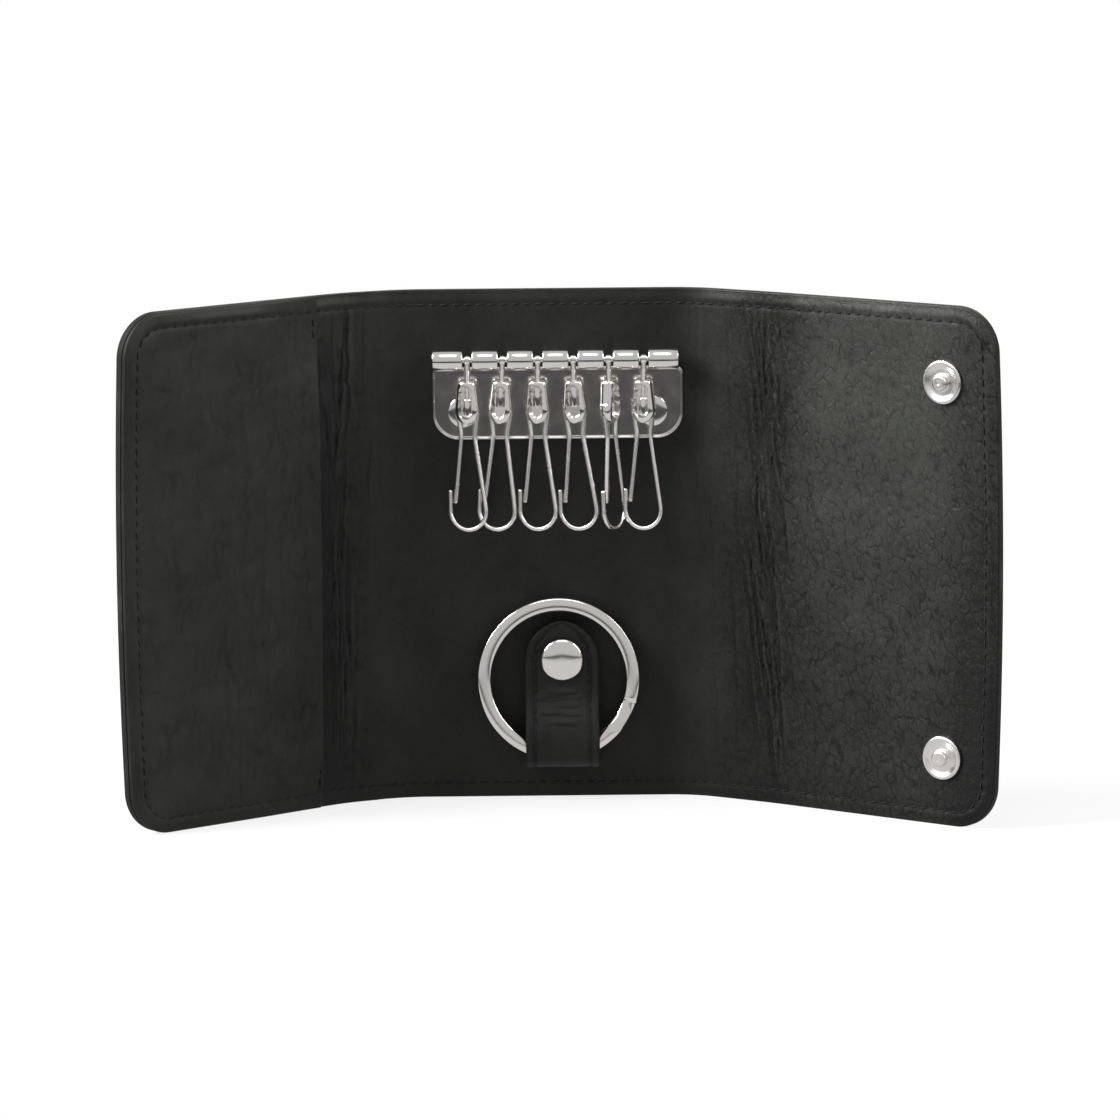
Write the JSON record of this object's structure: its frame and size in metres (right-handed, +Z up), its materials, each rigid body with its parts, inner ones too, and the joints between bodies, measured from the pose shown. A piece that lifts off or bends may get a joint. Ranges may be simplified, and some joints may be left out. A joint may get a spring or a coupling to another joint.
{
  "type": "key case",
  "caption": "Trifold leather key case standing open, with a rail of swivel key hooks, a split ring on a snap strap, a slip pocket and snaps that close the wings.",
  "frame": {"origin": "middle of the hook rail's width, on the lower edge of the centre panel", "axes": "+X along the rail to the right wing, +Y out of the back of the centre panel, +Z up"},
  "size_m": [0.1699, 0.0423, 0.101],
  "materials": {
    "outer_leather": "fine grained, satin",
    "lining_leather": "pebbled and creased, satin",
    "strap_leather": "smooth, satin",
    "board": "plain fibre board",
    "wire": "bright nickel",
    "plated": "bright nickel"
  },
  "bodies": {
    "centre": {"shell_centre": "outer_leather", "lining_centre": "lining_leather", "board_centre": "board", "rail_plate": "plated", "rail_rod": "wire", "rail_rivets": "plated", "rivet_washers": "plated", "strap_back": "strap_leather", "strap_loop": "strap_leather", "strap_snap_stud": "plated", "strap_snap_post": "plated"},
    "left_spine": {"shell_left_spine": "outer_leather", "lining_left_spine": "lining_leather"},
    "left_wing": {"shell_left_wing": "outer_leather", "lining_left_wing": "lining_leather", "board_left_wing": "board", "pocket_panel": "lining_leather", "wing_sockets": "plated", "wing_socket_posts": "plated"},
    "right_spine": {"shell_right_spine": "outer_leather", "lining_right_spine": "lining_leather"},
    "right_wing": {"shell_right_wing": "outer_leather", "lining_right_wing": "lining_leather", "board_right_wing": "board", "wing_studs": "plated", "wing_stud_posts": "plated"},
    "ring": {"split_ring": "wire"},
    "flap": {"strap_flap": "strap_leather", "strap_snap_cap": "plated", "strap_snap_socket": "plated"},
    "hook_1_eye": {"hook_1_eye": "wire"},
    "hook_1_swivel": {"hook_1_ferrule": "plated", "hook_1_wire": "wire"},
    "hook_1_gate": {"hook_1_gate": "wire"},
    "hook_2_eye": {"hook_2_eye": "wire"},
    "hook_2_swivel": {"hook_2_ferrule": "plated", "hook_2_wire": "wire"},
    "hook_2_gate": {"hook_2_gate": "wire"},
    "hook_3_eye": {"hook_3_eye": "wire"},
    "hook_3_swivel": {"hook_3_ferrule": "plated", "hook_3_wire": "wire"},
    "hook_3_gate": {"hook_3_gate": "wire"},
    "hook_4_eye": {"hook_4_eye": "wire"},
    "hook_4_swivel": {"hook_4_ferrule": "plated", "hook_4_wire": "wire"},
    "hook_4_gate": {"hook_4_gate": "wire"},
    "hook_5_eye": {"hook_5_eye": "wire"},
    "hook_5_swivel": {"hook_5_ferrule": "plated", "hook_5_wire": "wire"},
    "hook_5_gate": {"hook_5_gate": "wire"},
    "hook_6_eye": {"hook_6_eye": "wire"},
    "hook_6_swivel": {"hook_6_ferrule": "plated", "hook_6_wire": "wire"},
    "hook_6_gate": {"hook_6_gate": "wire"}
  },
  "joints": [
    {"name": "left_spine_fold", "type": "hinge", "parent": "centre", "child": "left_spine", "pos_m": [-0.0305, 0, 0.0505], "axis": [0, 0, -1], "range_deg": [-67.5, 22.5]},
    {"name": "left_wing_fold", "type": "hinge", "parent": "left_spine", "child": "left_wing", "pos_m": [-0.04233, -0.0049, 0.0505], "axis": [0, 0, -1], "range_deg": [-74.5, 15.5]},
    {"name": "right_spine_fold", "type": "hinge", "parent": "centre", "child": "right_spine", "pos_m": [0.0265, 0, 0.0505], "axis": [0, 0, 1], "range_deg": [-58.5, 31.5]},
    {"name": "right_wing_fold", "type": "hinge", "parent": "right_spine", "child": "right_wing", "pos_m": [0.04134, -0.00909, 0.0505], "axis": [0, 0, 1], "range_deg": [-85.5, 4.5]},
    {"name": "ring_swing", "type": "hinge", "parent": "centre", "child": "ring", "pos_m": [-0.0002, -0.00535, 0.01085], "axis": [1, 0, 0], "range_deg": [0, 170]},
    {"name": "flap_open", "type": "hinge", "parent": "centre", "child": "flap", "pos_m": [0.0005, -0.00895, 0.0126], "axis": [1, 0, 0], "range_deg": [0, 125]},
    {"name": "hook_1_swing", "type": "hinge", "parent": "centre", "child": "hook_1_eye", "pos_m": [-0.0176, -0.0043, 0.0875], "axis": [-1, 0, 0], "range_deg": [0, 150]},
    {"name": "hook_1_turn", "type": "hinge", "parent": "hook_1_eye", "child": "hook_1_swivel", "pos_m": [-0.0176, -0.00476, 0.07991], "axis": [0, -0.061, -0.9981], "range_deg": [0, 100]},
    {"name": "hook_1_gate_open", "type": "hinge", "parent": "hook_1_swivel", "child": "hook_1_gate", "pos_m": [-0.01931, -0.00428, 0.07848], "axis": [-0.3173, -0.9466, 0.0579], "range_deg": [0, 9], "stiffness_Nm_per_rad": 0.02},
    {"name": "hook_2_swing", "type": "hinge", "parent": "centre", "child": "hook_2_eye", "pos_m": [-0.0107, -0.0043, 0.0875], "axis": [-1, 0, 0], "range_deg": [0, 150]},
    {"name": "hook_2_turn", "type": "hinge", "parent": "hook_2_eye", "child": "hook_2_swivel", "pos_m": [-0.01092, -0.00462, 0.08231], "axis": [-0.0429, -0.061, -0.9972], "range_deg": [0, 100]},
    {"name": "hook_2_gate_open", "type": "hinge", "parent": "hook_2_swivel", "child": "hook_2_gate", "pos_m": [-0.01279, -0.00427, 0.07856], "axis": [-0.317, -0.9457, 0.0715], "range_deg": [0, 9], "stiffness_Nm_per_rad": 0.02},
    {"name": "hook_3_swing", "type": "hinge", "parent": "centre", "child": "hook_3_eye", "pos_m": [-0.0038, -0.0043, 0.0875], "axis": [-1, 0, 0], "range_deg": [0, 150]},
    {"name": "hook_3_turn", "type": "hinge", "parent": "hook_3_eye", "child": "hook_3_swivel", "pos_m": [-0.00383, -0.00462, 0.08231], "axis": [-0.0061, -0.061, -0.9981], "range_deg": [0, 100]},
    {"name": "hook_3_gate_open", "type": "hinge", "parent": "hook_3_swivel", "child": "hook_3_gate", "pos_m": [-0.00557, -0.00429, 0.07849], "axis": [-0.309, -0.9492, 0.0599], "range_deg": [0, 9], "stiffness_Nm_per_rad": 0.02},
    {"name": "hook_4_swing", "type": "hinge", "parent": "centre", "child": "hook_4_eye", "pos_m": [0.0031, -0.0043, 0.0875], "axis": [-1, 0, 0], "range_deg": [0, 150]},
    {"name": "hook_4_turn", "type": "hinge", "parent": "hook_4_eye", "child": "hook_4_swivel", "pos_m": [0.00326, -0.00462, 0.08231], "axis": [0.0304, -0.061, -0.9977], "range_deg": [0, 100]},
    {"name": "hook_4_gate_open", "type": "hinge", "parent": "hook_4_swivel", "child": "hook_4_gate", "pos_m": [0.00164, -0.00436, 0.07844], "axis": [-0.2755, -0.96, 0.0503], "range_deg": [0, 9], "stiffness_Nm_per_rad": 0.02},
    {"name": "hook_5_swing", "type": "hinge", "parent": "centre", "child": "hook_5_eye", "pos_m": [0.01, -0.0043, 0.0875], "axis": [-1, 0, 0], "range_deg": [0, 150]},
    {"name": "hook_5_turn", "type": "hinge", "parent": "hook_5_eye", "child": "hook_5_swivel", "pos_m": [0.01017, -0.00462, 0.08231], "axis": [-0.0326, 0.061, 0.9976], "range_deg": [0, 80]},
    {"name": "hook_5_gate_open", "type": "hinge", "parent": "hook_5_swivel", "child": "hook_5_gate", "pos_m": [0.00926, -0.00632, 0.07858], "axis": [0.8187, -0.5709, 0.0617], "range_deg": [0, 9], "stiffness_Nm_per_rad": 0.02},
    {"name": "hook_6_swing", "type": "hinge", "parent": "centre", "child": "hook_6_eye", "pos_m": [0.0169, -0.0043, 0.0875], "axis": [-1, 0, 0], "range_deg": [0, 150]},
    {"name": "hook_6_turn", "type": "hinge", "parent": "hook_6_eye", "child": "hook_6_swivel", "pos_m": [0.01683, -0.00476, 0.07991], "axis": [-0.0087, -0.061, -0.9981], "range_deg": [0, 100]},
    {"name": "hook_6_gate_open", "type": "hinge", "parent": "hook_6_swivel", "child": "hook_6_gate", "pos_m": [0.01512, -0.00425, 0.0785], "axis": [-0.3338, -0.9407, 0.0605], "range_deg": [0, 9], "stiffness_Nm_per_rad": 0.02}
  ]
}
